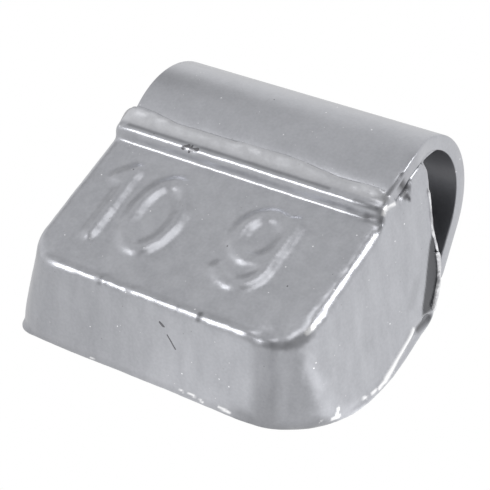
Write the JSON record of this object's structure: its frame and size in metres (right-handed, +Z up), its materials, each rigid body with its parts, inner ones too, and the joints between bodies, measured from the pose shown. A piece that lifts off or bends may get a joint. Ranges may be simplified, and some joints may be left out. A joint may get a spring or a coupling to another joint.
{
  "type": "wheel balance weight",
  "caption": "Knock-on wheel balance weight: a zinc body with a sloping marked face, cast round the root of a bent spring-steel clip that grips the rim flange.",
  "frame": {"origin": "level with the lowest line of the underside, under the middle of the weight's box", "axes": "+X along the weight, +Y from the front face back to the clip, +Z up, so the clip opens downwards"},
  "size_m": [0.018, 0.0152, 0.0106],
  "materials": {
    "zinc": "thin silver-grey coat on cast zinc, satin",
    "steel": "thin silver-grey coat on spring steel, satin"
  },
  "bodies": {
    "root": {"cast_body": "zinc", "rim_clip": "steel"}
  },
  "joints": []
}
